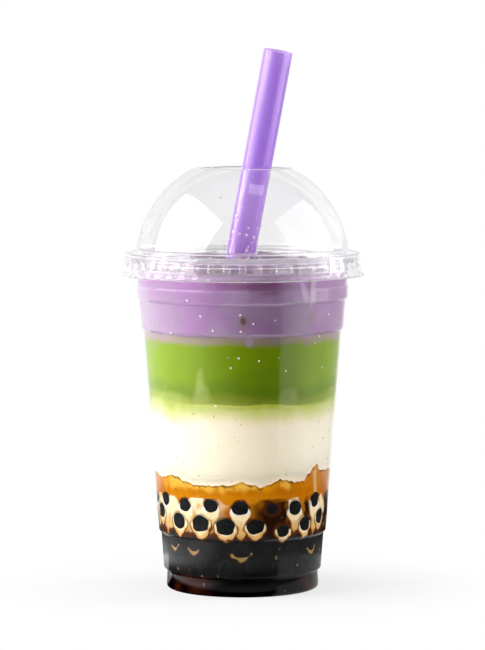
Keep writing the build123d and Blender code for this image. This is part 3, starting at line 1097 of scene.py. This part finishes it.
class BUBBLETEA_OT_cup(bpy.types.Operator):
    """Builds the clear cup: one thin wall from the base to the rolled rim"""

    bl_idname = "bubbletea.cup"
    bl_label = "Clear cup"

    def execute(self, context):
        cup = context.scene.tea_cup
        roll = cup.rim_roll
        neck = rim_radius - cup.rim_reach
        outside = [point for point in cup_face(cup, 0.0) if point[1] < cup_height - roll]
        inside = [point for point in cup_face(cup, cup.wall) if point[1] < cup_height - roll]
        curl = rounded([
            outside[-1] + (0.0,),
            (neck, cup_height - roll, 0.5 * MM),
            (rim_radius, cup_height - roll, cup.rim_rounding),
            (rim_radius, cup_height, cup.rim_rounding),
            (neck - cup.wall, cup_height, cup.rim_rounding),
            inside[-1] + (0.0,),
        ])
        section = outside[:-1] + curl + inside[:-1][::-1]
        side = turned_corners("cup", 2 * cup.base_recess, cup_height - 1.5 * cup.rim_roll)
        # Painted highlight: each step is whitened, more the higher it stands.
        clouded = [(low - 0.2 * MM, high + 0.3 * MM, cup.step_highlight * high / cup_height)
                   for (narrow, low), (wide, high) in zip(side, side[1:])
                   if wide - narrow > cup.wall and high - low < 2 * MM]
        plastic = clear_plastic("thermoformed_clear_cup_sheet", cup.tint, cup.ior, 14 * MM,
                                clouded)
        bearings = np.arange(cup.segments) * 2 * pi / cup.segments
        piece = turned("clear_cup", section, bearings, plastic, closed=False)
        place(piece, "clear_cup", "cup")
        return {"FINISHED"}


class BUBBLETEA_OT_lid(bpy.types.Operator):
    """Builds the clear dome lid: dome, stacking groove, bead, lugs and lip in one wall"""

    bl_idname = "bubbletea.lid"
    bl_label = "Dome lid"

    def execute(self, context):
        lid, cup = context.scene.tea_lid, context.scene.tea_cup
        neck = rim_radius - cup.rim_reach
        top = lid_high.z
        flat, foot, collar, centre, dome = dome_arc(lid, cup)
        groove = foot - lid.collar_inset
        seat = cup_height + lid.seat_clearance + lid.wall
        bead = cup_height + lid.bead_rise
        seat_outside = neck + lid.seat_width
        skirt = rim_radius + lid.skirt_slack + lid.wall
        lip_height = lid_low.z
        first, last = atan2(top - centre, flat), atan2(collar - centre, foot)
        leans = [first + (last - first) * i / lid.dome_rows for i in range(1, lid.dome_rows)]
        arc = [(dome * cos(lean), centre + dome * sin(lean), 0.0) for lean in leans]
        points = [(lid.hole_radius, top, 0.0), (flat, top, 0.6 * MM)] + arc + [
            (foot, collar, 0.5 * MM),
            (groove, collar - lid.collar_inset, 0.5 * MM),
            (groove, seat + lid.collar_inset / 2, 0.4 * MM),
            (groove + lid.collar_inset / 2, seat, 0.4 * MM),
            (seat_outside, seat, 0.4 * MM),
            (seat_outside + (bead - seat) / 2, bead, 0.6 * MM),
            (skirt, bead, 1.4 * MM),
        ]
        skirt_foot = lip_height + lid.wall
        for share in np.arange(1, lid.skirt_rows + 1) / lid.skirt_rows:
            points.append((skirt + lid.skirt_flare * share,
                           bead + (skirt_foot - bead) * share, 0.2 * MM))
        points.append((lid_high.x, lip_height, 0.0))
        face = rounded(points, 4)
        section = face + offset_line(face, lid.wall)[::-1]
        lug_middle = cup_height - lid.lug_drop

        def pressed(radii, heights, bearings):
            """Lugs pressed in round the skirt, and a slightly scalloped lip."""
            phase = (bearings * lid.lug_count / (2 * pi) + 0.5) % 1.0 - 0.5
            lug = smooth(lid.lug_share / 2 - np.abs(phase), -0.01, 0.03)
            tall = smooth(lid.lug_height / 2 - np.abs(heights - lug_middle), 0.0, 0.8 * MM)
            out = smooth(radii, skirt - 1.2 * MM, skirt - 0.2 * MM)
            lip = smooth(lip_height + 1.2 * MM - heights, 0.0, 0.8 * MM) * out
            shift = -lid.lug_depth * lug * tall * out
            scallop = lid.lip_scallop * np.cos(bearings * lid.lug_count) * lip
            return radii + shift + scallop, heights

        clouded = [(lip_height - MM, collar + 0.6 * MM, lid.mist),
                   (top - 0.5 * MM, top + MM, lid.edge_cloud)]
        plastic = clear_plastic("thermoformed_clear_lid_sheet", lid.tint, lid.ior, 18 * MM,
                                clouded)
        edge = lid.lug_share / 2
        phases = (-0.42, -edge - 0.012, -edge + 0.01, -edge + 0.032, 0.0, edge - 0.032,
                  edge - 0.01, edge + 0.012, 0.42)
        bearings = np.array([(lug + phase) / lid.lug_count * 2 * pi
                             for lug in range(lid.lug_count) for phase in phases])
        piece = turned("clear_dome_lid", section, bearings, plastic, shape=pressed)
        place(piece, "clear_lid", "dome_lid")
        return {"FINISHED"}


class BUBBLETEA_OT_straw(bpy.types.Operator):
    """Gives the straw, and the drink that stands in it, their finish"""

    bl_idname = "bubbletea.straw"
    bl_label = "Straw"

    def execute(self, context):
        plastic = straw_plastic(context.scene.tea_straw)
        for name, material in (("straw", plastic),
                               ("drink_in_straw", taro_milk(context.scene.tea_drink))):
            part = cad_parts[name]
            part.data.materials.clear()
            part.data.materials.append(material)
        return {"FINISHED"}


class BUBBLETEA_OT_milk_layers(bpy.types.Operator):
    """Builds the taro, matcha and milk layers"""

    bl_idname = "bubbletea.milk_layers"
    bl_label = "Milk layers"

    def execute(self, context):
        cup, drink = context.scene.tea_cup, context.scene.tea_drink
        edge = layer_edges(drink)
        layers = [
            ("taro_milk", taro_milk(drink), "matcha_layer", "taro_layer", "taro", 1.0),
            ("matcha_milk", matcha_milk(drink), "milk_layer", "matcha_layer", "matcha", 1.0),
            ("ivory_milk", ivory_milk(drink), "caramel_layer", "milk_layer", "milk", 1.6),
        ]
        for name, material, below, own, slot, fine in layers:
            piece = drink_layer(name, material, edge[below], edge[own], cup, drink, fine)
            paint_marks(piece, milk_marks(drink))
            place(piece, slot, own)
        return {"FINISHED"}


class BUBBLETEA_OT_syrup_layers(bpy.types.Operator):
    """Builds the caramel, the marbled cream and the dark syrup"""

    bl_idname = "bubbletea.syrup_layers"
    bl_label = "Syrup layers"

    def execute(self, context):
        scene = context.scene
        cup, drink = scene.tea_cup, scene.tea_drink
        edge = layer_edges(drink)
        layout = pearl_layout(scene.tea_pearls)
        layers = [
            ("caramel_band", "brown_sugar_caramel", 1.0 * MM, "marbled_pearl_layer",
             "caramel_layer", "caramel", 1.6),
            ("marbled_cream", "cream_marbled_syrup", 0.6 * MM, "pearl_syrup_layer",
             "marbled_pearl_layer", "marbled_cream", 2.0),
            ("pearl_syrup", "dark_brown_sugar_syrup", 0.4 * MM, None,
             "pearl_syrup_layer", "brown_sugar_syrup", 1.6),
        ]
        for name, finish, spread, below, own, slot, fine in layers:
            piece = drink_layer(name, marbled_syrup(finish, spread), edge.get(below), edge[own],
                                cup, drink, fine)
            if name == "caramel_band":
                paint_caramel(piece, edge[own], drink)
            else:
                paint_marbling(piece, layout, drink)
            place(piece, slot, own)
        return {"FINISHED"}


class BUBBLETEA_OT_pearls(bpy.types.Operator):
    """Builds the tapioca pearls, each flattened where it is pressed against the wall"""

    bl_idname = "bubbletea.pearls"
    bl_label = "Pearls"

    def execute(self, context):
        scene = context.scene
        cup, pearls = scene.tea_cup, scene.tea_pearls
        source = random.Random(pearls.seed + 100)
        limit = wall_radius(cup, cup.wall - pearls.reach)
        around, rings = 28, 15
        vertices, faces = [], []
        for pearl in pearl_layout(pearls):
            lobes = [(k, source.uniform(0, 2 * pi), source.uniform(0.01, 0.05)) for k in (2, 3, 5)]
            sink = 0.55 * pearls.depth
            wall = float(limit(pearl.height))
            grow = 1 / (1 - (sink / pearls.depth) ** 2) ** 0.5
            start = len(vertices)
            for i in range(rings + 1):
                lean = pi * i / rings
                for j in range(around):
                    turn = 2 * pi * j / around
                    lumpy = 1 + sum(size * cos(k * turn + phase) for k, phase, size in lobes)
                    across = pearl.wide * grow * sin(lean) * cos(turn) * lumpy
                    up = pearl.tall * grow * sin(lean) * sin(turn) * lumpy
                    out = pearls.depth * cos(lean) - sink
                    height = max(pearl.height + up, cup.base_recess)
                    radius = min(wall + out, float(limit(height)))
                    bearing = pearl.bearing + across / wall
                    vertices.append((radius * sin(bearing), -radius * cos(bearing), height))
            faces.extend(grid_faces(rings + 1, around, start=start))
        piece = mesh_object("tapioca_pearls", vertices, faces, tapioca(pearls), 50)
        place(piece, "tapioca_pearl")
        return {"FINISHED"}


class BUBBLETEA_OT_ice(bpy.types.Operator):
    """Builds the ice lumps that float at the top of the drink, coated with taro milk"""

    bl_idname = "bubbletea.ice"
    bl_label = "Ice"

    def execute(self, context):
        ice = context.scene.tea_ice
        source = random.Random(ice.seed)
        vertices, faces = [], []
        lumps = [(-14, -16, 8.6, 0.95), (14.5, -15, 7.6, 0.95), (1, -17, 6.0, 0.45),
                 (27, 8, 2.5, 1.0), (12, 22, 3.5, 1.0), (-12, 24, 3.0, 1.0), (-30, 6, 2.0, 1.0)]
        for x, y, rise, size in lumps:
            half = ice.size * size * source.uniform(0.42, 0.5)
            turn = (Matrix.Rotation(source.uniform(0, pi), 4, "Z")
                    @ Matrix.Rotation(source.uniform(-0.35, 0.35), 4, "X")
                    @ Matrix.Rotation(source.uniform(-0.35, 0.35), 4, "Y"))
            middle = Vector((x * MM, y * MM, level["taro_layer"] + rise * MM - half * 1.05))
            bumps = [(Vector([source.gauss(0, 1) for _ in range(3)]).normalized() * 300,
                      source.uniform(0, 2 * pi)) for _ in range(3)]
            work = bmesh.new()
            bmesh.ops.create_cube(work, size=2 * half)
            bmesh.ops.subdivide_edges(work, edges=work.edges, cuts=9, use_grid_fill=True)
            start = len(vertices)
            work.verts.index_update()
            for vertex in work.verts:
                soft = vertex.co.lerp(vertex.co.normalized() * half * 1.18, 0.5)
                swell = sum(sin(soft.dot(way) + phase) for way, phase in bumps)
                soft += soft.normalized() * 0.5 * MM * swell
                vertices.append(turn @ soft + middle)
            faces += [[start + corner.index for corner in face.verts] for face in work.faces]
            work.free()
        piece = mesh_object("ice_lumps", vertices, faces, iced_taro(ice), 80)
        place(piece, "ice")
        return {"FINISHED"}


class BUBBLETEA_OT_drops(bpy.types.Operator):
    """Builds the water drops inside the dome, on the straw's foot and on the cup's side"""

    bl_idname = "bubbletea.drops"
    bl_label = "Drops"

    def execute(self, context):
        scene = context.scene
        drops, cup, lid = scene.tea_drops, scene.tea_cup, scene.tea_lid
        source = random.Random(drops.seed)
        vertices, faces = [], []
        outside = wall_radius(cup, 0.0)
        *_, centre, dome = dome_arc(lid, cup)

        def drop(middle, out, size):
            """A bead of water on a surface whose outward side is out."""
            up = Vector((0, 0, 1)) - out * out.z
            up.normalize()
            side = up.cross(out)
            start, around, rings = len(vertices), 10, 4
            for i in range(rings + 1):
                lean = pi / 2 * i / rings
                for j in range(around):
                    turn = 2 * pi * j / around
                    vertices.append(middle + side * size * cos(lean) * cos(turn)
                                    + up * size * 1.1 * cos(lean) * sin(turn)
                                    + out * size * 0.5 * sin(lean))
            faces.extend(grid_faces(rings + 1, around, start=start))
            faces.append([start + j for j in range(around)][::-1])

        for _ in range(drops.in_dome):
            bearing = source.uniform(-pi, pi)
            rise = source.random() ** 4 * 0.4 * pi / 2 + 0.04
            normal = Vector((sin(bearing) * cos(rise), -cos(bearing) * cos(rise), sin(rise)))
            size = drops.radius * source.uniform(0.25, 0.7)
            drop(Vector((0, 0, centre)) + normal * (dome - lid.wall), -normal, size)
        low, high, straw_radius = straw_axis()
        along = (high - low).normalized()
        side = along.cross(Vector((0, -1, 0))).normalized()
        front = side.cross(along)
        for _ in range(drops.on_straw):
            turn = source.uniform(-1.5, 1.5)
            reach = level["taro_layer"] + source.triangular(3 * MM, 28 * MM, 6 * MM) - low.z
            normal = side * sin(turn) + front * cos(turn)
            if normal.y > 0:
                normal = -normal
            size = drops.radius * source.uniform(0.3, 0.75)
            drop(low + along * (reach / along.z) + normal * straw_radius, normal, size)
        for _ in range(drops.on_cup):
            bearing = source.uniform(-pi, pi)
            height = source.triangular(75 * MM, cup_height - 10 * MM, cup_height - 25 * MM)
            normal = Vector((sin(bearing), -cos(bearing), 0))
            size = drops.radius * source.uniform(0.15, 0.55)
            drop(normal * float(outside(height)) + Vector((0, 0, height)), normal, size)
        piece = mesh_object("water_drops", vertices, faces, water(), 60)
        place(piece, "water")
        return {"FINISHED"}


class BUBBLETEA_OT_stage(bpy.types.Operator):
    """Builds the pale floor, the soft lamps, the surroundings and the camera"""

    bl_idname = "bubbletea.stage"
    bl_label = "Stage"

    def execute(self, context):
        scene, studio = context.scene, context.scene.tea_studio
        self.floor(studio)
        self.lamps(scene, studio)
        self.surroundings(scene, studio)
        camera = bpy.data.cameras.new("camera")
        camera.lens = studio.focal_length
        camera.sensor_width = 36.0
        holder = bpy.data.objects.new("camera", camera)
        holder.location = (0.0, -studio.camera_distance, studio.camera_height)
        holder.rotation_euler = (pi / 2 - studio.camera_tilt, 0.0, 0.0)
        scene.collection.objects.link(holder)
        scene.camera = holder
        scene.view_settings.view_transform = "Standard"
        scene.cycles.max_bounces = 24
        scene.cycles.transmission_bounces = 20
        scene.cycles.transparent_max_bounces = 32
        scene.cycles.glossy_bounces = 6
        return {"FINISHED"}

    def floor(self, studio):
        """Matt white paper. Seen directly it is almost white, with a faint shadow; mirrored in
        the cup it is dark at the foot and bright at the left and at the right."""
        material, tree = new_material("matt_white_paper")
        paper = node(tree, "BsdfDiffuse", {"Color": (0.7, 0.7, 0.7, 1.0)})
        white = node(tree, "Emission", {"Color": WHITE, "Strength": 1.0})
        place_in = node(tree, "TexCoord").outputs["Object"]
        away = node(tree, "VectorMath", {0: place_in}, operation="LENGTH").outputs["Value"]
        fade = node(tree, "MapRange", {"Value": away, "From Min": 0.03, "From Max": 0.11,
                                       "To Min": studio.shadow, "To Max": 1.0})
        share = node(tree, "Math", {0: rays(tree, "Camera", "Transmission"), 1: fade},
                     operation="MULTIPLY")
        both = node(tree, "MixShader", {"Fac": share, 1: paper, 2: white})
        near = node(tree, "MapRange", {"Value": away, "From Min": 0.09, "From Max": 0.15,
                                       "To Min": studio.floor_in_gloss, "To Max": 0.02})
        across = node(tree, "SeparateXYZ", {0: place_in})
        left = node(tree, "MapRange", {"Value": across.outputs["X"], "From Min": -0.05,
                                       "From Max": -0.08, "To Min": 1.0,
                                       "To Max": studio.floor_left})
        wide = node(tree, "Math", {0: near, 1: left}, operation="MULTIPLY")
        # The card on the right ends along a slanting line, which the foot mirrors upright.
        card_slant = 1.373
        slant = node(tree, "Math", {0: across.outputs["Y"], 1: card_slant,
                                    2: across.outputs["X"]}, operation="MULTIPLY_ADD")
        card = node(tree, "MapRange", {"Value": slant, "From Min": -0.030,
                                       "From Max": -0.024, "To Min": 0.0,
                                       "To Max": studio.floor_card})
        close = node(tree, "Math", {0: card,
                                    1: between(tree, away, 0.11, 0.09)}, operation="MULTIPLY")
        lit = node(tree, "Math", {0: close, 1: between(tree, away, 0.065, 0.085)},
                   operation="MAXIMUM")
        glow = node(tree, "Math", {0: wide, 1: lit}, operation="MULTIPLY")
        dim = node(tree, "Emission", {"Color": WHITE, "Strength": glow})
        beyond = node(tree, "BsdfTransparent")
        ending = node(tree, "MixShader", {
            "Fac": between(tree, away, 0.74 * studio.floor_radius, 0.98 * studio.floor_radius),
            1: dim, 2: beyond})
        mirrored = node(tree, "MixShader", {
            "Fac": node(tree, "LightPath").outputs["Is Glossy Ray"], 1: both, 2: ending})
        finish_material(tree, mirrored)
        count = 96
        below = 0.02 * MM
        turns = [2 * pi * i / count for i in range(count)]
        ring = [(studio.floor_radius * cos(turn), studio.floor_radius * sin(turn), -below)
                for turn in turns]
        mesh = bpy.data.meshes.new("floor")
        mesh.from_pydata(ring, [], [range(count)])
        mesh.materials.append(material)
        piece = bpy.data.objects.new("floor", mesh)
        bpy.context.scene.collection.objects.link(piece)

    def lamps(self, scene, studio):
        """A key light on the left and a weaker one behind on the right light the drink; a
        large softbox, a white card and a window only show in gloss. The pale layers and the
        drops get a little fill from the front, and the straw, which leans away from the right
        key, isn't lit by it."""
        aim = Vector((0, 0, 0.09))
        # Name, bearing and rise in degrees, distance, width, height, power, where it shows.
        lamps = [
            ("left_key", -82, 28, 1.0, 1.0, 0.9, studio.left_light, "diffuse"),
            ("right_key", 104, 22, 0.9, 0.35, 0.6, studio.right_light, "diffuse"),
            ("front_fill", 4, 8, 1.0, 0.9, 0.5, studio.front_fill, "diffuse"),
            ("room_fill", 0, 15, 1.0, 1.2, 0.8, studio.room_fill, "diffuse"),
            ("top_fill", 0, 80, 0.9, 0.8, 0.8, studio.top_light, "diffuse"),
            ("left_softbox", -76, 32, 1.0, 1.35, 0.95, studio.left_softbox, "gloss"),
            ("right_card", 79, 24, 0.42, 0.42, 0.46, studio.right_card, "gloss"),
            ("top_window", 91, 80, 1.0, 0.26, 0.19, studio.top_window, "gloss"),
        ]
        for name, bearing, rise, distance, width, tall, power, sort in lamps:
            lamp = bpy.data.lights.new(name, "AREA")
            lamp.shape = "RECTANGLE"
            lamp.size, lamp.size_y, lamp.energy = width, tall, power
            holder = bpy.data.objects.new(name, lamp)
            turn, up = radians(bearing), radians(rise)
            out = Vector((sin(turn) * cos(up), -cos(turn) * cos(up), sin(up)))
            holder.location = aim + out * distance
            holder.rotation_euler = out.to_track_quat("Z", "Y").to_euler()
            holder.visible_glossy = sort == "gloss"
            holder.visible_diffuse = sort == "diffuse"
            scene.collection.objects.link(holder)
        pale = ("ivory_milk", "caramel_band", "marbled_cream")
        rest = ("taro_milk", "matcha_milk", "pearl_syrup", "tapioca_pearls", "ice_lumps",
                "clear_cup", "clear_dome_lid", "floor")
        drops = ("water_drops",)
        for name, lit in (("front_fill", pale + drops), ("right_key", pale + drops + rest)):
            collection = bpy.data.collections.new("lit_by_" + name)
            for piece in lit:
                collection.objects.link(bpy.data.objects[piece])
            bpy.data.objects[name].light_linking.receiver_collection = collection
        bpy.data.objects["front_fill"].data.color = studio.fill_tint

    def surroundings(self, scene, studio):
        """A white backdrop seen directly and through clear things. In reflections, white lies
        behind the cup, the room in front is dark, and below the horizon the table is grey on
        the left, white on the right and bright near the cup."""
        world = bpy.data.worlds.new("studio")
        world.use_nodes = True
        tree = world.node_tree
        tree.nodes.clear()
        facing = node(tree, "TexCoord").outputs["Generated"]
        apart = node(tree, "SeparateXYZ", {0: facing})
        back = grey_ramp(tree, between(tree, apart.outputs["Y"], -1.0, 1.0),
                         [(0.0, 0.02), (0.6, 0.04), (0.79, 0.12), (0.86, 0.95), (1.0, 1.0)])
        front = node(tree, "Math", {0: apart.outputs["Y"], 1: -1.0}, operation="MULTIPLY")
        bearing = node(tree, "Math", {0: apart.outputs["X"], 1: front}, operation="ARCTAN2")
        round_it = node(tree, "MapRange", {"Value": bearing, "From Min": -pi, "From Max": pi})
        left, right = studio.table_left, studio.table_right
        # How bright the table is at each bearing, in degrees.
        stops = [(-180, 1.0), (-146, 1.0), (-142, left), (-64, left), (-50, 0.8 * left),
                 (-34, 0.36 * left), (-16, 0.13 * left), (0, 0.02), (45, 0.02), (46.5, right),
                 (98, right), (110, 0.65 * right), (150, 0.6 * right), (162, 1.0), (180, 1.0)]
        table = grey_ramp(tree, round_it, [((turn + 180) / 360, grey) for turn, grey in stops])
        steep = between(tree, apart.outputs["Z"], -0.35, -0.6)
        table = mix_colour(tree, steep, table, (studio.table_near,) * 3)
        low = between(tree, apart.outputs["Z"], 0.07, 0.05)
        mirrored = mix_colour(tree, low, back, table)
        dim = mix_colour(tree, 1.0, back, (studio.ambient,) * 3, "MULTIPLY")
        diffuse = node(tree, "LightPath").outputs["Is Diffuse Ray"]
        ambient = mix_colour(tree, diffuse, mirrored, dim)
        tint = mix_colour(tree, rays(tree, "Camera", "Transmission"), ambient, WHITE[:3])
        light = node(tree, "Background", {"Color": tint, "Strength": 1.0})
        node(tree, "OutputWorld", {"Surface": light})
        scene.world = world


class BUBBLETEA_PT_panel(bpy.types.Panel):
    """Lists the pieces of the bubble tea"""

    bl_idname = "BUBBLETEA_PT_panel"
    bl_label = "Bubble Tea"
    bl_space_type = "VIEW_3D"
    bl_region_type = "UI"
    bl_category = "Bubble Tea"

    def draw(self, context):
        for label, group, operators in PANEL_ROWS:
            box = self.layout.box()
            box.label(text=label)
            settings = getattr(context.scene, group)
            for name in settings.bl_rna.properties.keys():
                if name not in {"rna_type", "name"}:
                    box.prop(settings, name)
            for operator in operators:
                box.operator(operator.bl_idname)


PANEL_ROWS = [
    ("Cup", "tea_cup", [BUBBLETEA_OT_cup]),
    ("Lid", "tea_lid", [BUBBLETEA_OT_lid]),
    ("Straw", "tea_straw", [BUBBLETEA_OT_straw]),
    ("Drink", "tea_drink", [BUBBLETEA_OT_milk_layers, BUBBLETEA_OT_syrup_layers]),
    ("Pearls", "tea_pearls", [BUBBLETEA_OT_pearls]),
    ("Ice", "tea_ice", [BUBBLETEA_OT_ice]),
    ("Water", "tea_drops", [BUBBLETEA_OT_drops]),
    ("Studio", "tea_studio", [BUBBLETEA_OT_stage]),
]
GROUPS = {
    "tea_cup": CupSettings,
    "tea_lid": LidSettings,
    "tea_straw": StrawSettings,
    "tea_drink": DrinkSettings,
    "tea_pearls": PearlSettings,
    "tea_ice": IceSettings,
    "tea_drops": DropSettings,
    "tea_studio": StudioSettings,
}
OPERATORS = [operator for _, _, operators in PANEL_ROWS for operator in operators]
CLASSES = list(GROUPS.values()) + OPERATORS + [BUBBLETEA_PT_panel]


def register():
    """Adds the settings, operators and panel to Blender."""
    for item in CLASSES:
        bpy.utils.register_class(item)
    for name, group in GROUPS.items():
        setattr(bpy.types.Scene, name, PointerProperty(type=group))


def unregister():
    """Takes them away again."""
    for name in GROUPS:
        delattr(bpy.types.Scene, name)
    for item in reversed(CLASSES):
        bpy.utils.unregister_class(item)


def main():
    """Builds every piece and the stage."""
    register()
    for operator in OPERATORS:
        group, name = operator.bl_idname.split(".")
        getattr(getattr(bpy.ops, group), name)()


if __name__ == "__main__":
    main()
